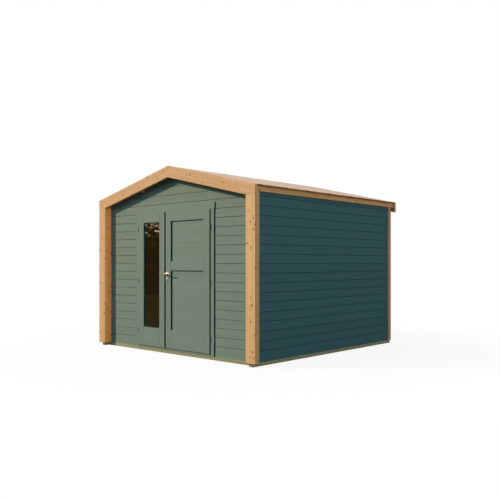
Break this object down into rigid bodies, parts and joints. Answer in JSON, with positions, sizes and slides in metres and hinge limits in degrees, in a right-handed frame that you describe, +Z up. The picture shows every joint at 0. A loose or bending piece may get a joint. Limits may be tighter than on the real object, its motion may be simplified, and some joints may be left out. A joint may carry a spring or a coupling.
{
  "type": "wooden garden shed",
  "caption": "Gabled wooden garden shed with a timber portal, boarded walls and roof, and an uneven pair of hinged doors with a lever handle.",
  "frame": {"origin": "middle of the shed's plan at ground level", "axes": "+X to the right along the front, +Y from the front to the back, +Z up"},
  "size_m": [3.04, 3.13, 2.4357],
  "materials": {
    "treated_timber": "sawn, pressure treated",
    "floor_boards": "planed, bare",
    "green_boards": "sawn boards in grey-green paint",
    "planed_timber": "planed, clear glazed",
    "roof_boards": "bare, weathered pale",
    "green_joinery": "planed, in grey-green paint",
    "pane": "clear",
    "hinge_metal": "dark bronze",
    "handle_metal": "satin"
  },
  "bodies": {
    "root": {"base_beam_left": "treated_timber", "base_beam_right": "treated_timber", "base_beam_front": "treated_timber", "base_beam_rear": "treated_timber", "floor_bearers": "treated_timber", "floor_deck": "floor_boards", "front_wall_left": "green_boards", "front_wall_right": "green_boards", "front_gable": "green_boards", "left_wall": "green_boards", "right_wall": "green_boards", "rear_wall": "green_boards", "corner_studs": "planed_timber", "front_corner_trims": "planed_timber", "rear_side_trims": "planed_timber", "rear_back_trims": "planed_timber", "portal_post_left": "planed_timber", "portal_post_right": "planed_timber", "portal_rafter_left": "planed_timber", "portal_rafter_right": "planed_timber", "rear_rafter_left": "planed_timber", "rear_rafter_right": "planed_timber", "ridge_purlin": "planed_timber", "side_purlins": "planed_timber", "roof_deck_left": "roof_boards", "roof_deck_right": "roof_boards", "eaves_fascia_left": "planed_timber", "eaves_fascia_right": "planed_timber", "door_jambs": "green_joinery", "door_head_jamb": "green_joinery", "casing_left": "green_joinery", "casing_right": "green_joinery", "casing_head": "green_joinery", "threshold": "green_joinery", "frame_knuckles": "hinge_metal"},
    "left_door": {"left_leaf_stiles": "green_joinery", "left_leaf_rails": "green_joinery", "pane": "pane", "glazing_beads": "green_joinery", "meeting_strip": "green_joinery", "left_leaf_knuckles": "hinge_metal"},
    "right_door": {"right_leaf_stiles": "green_joinery", "right_leaf_rails": "green_joinery", "right_leaf_panels": "green_joinery", "right_leaf_knuckles": "hinge_metal", "handle_roses": "handle_metal", "lock_cylinder": "handle_metal"},
    "lever": {"lever": "handle_metal"}
  },
  "joints": [
    {"name": "left_door_swing", "type": "hinge", "parent": "root", "child": "left_door", "pos_m": [-0.71, -1.481, 0.957], "axis": [0, 0, -1], "range_deg": [0, 170]},
    {"name": "right_door_swing", "type": "hinge", "parent": "root", "child": "right_door", "pos_m": [0.706, -1.481, 0.957], "axis": [0, 0, 1], "range_deg": [0, 160]},
    {"name": "lever_turn", "type": "hinge", "parent": "right_door", "child": "lever", "pos_m": [-0.1, -1.485, 1.043], "axis": [0, 1, 0], "range_deg": [0, 40], "stiffness_Nm_per_rad": 1, "springref_deg": -28.65}
  ]
}
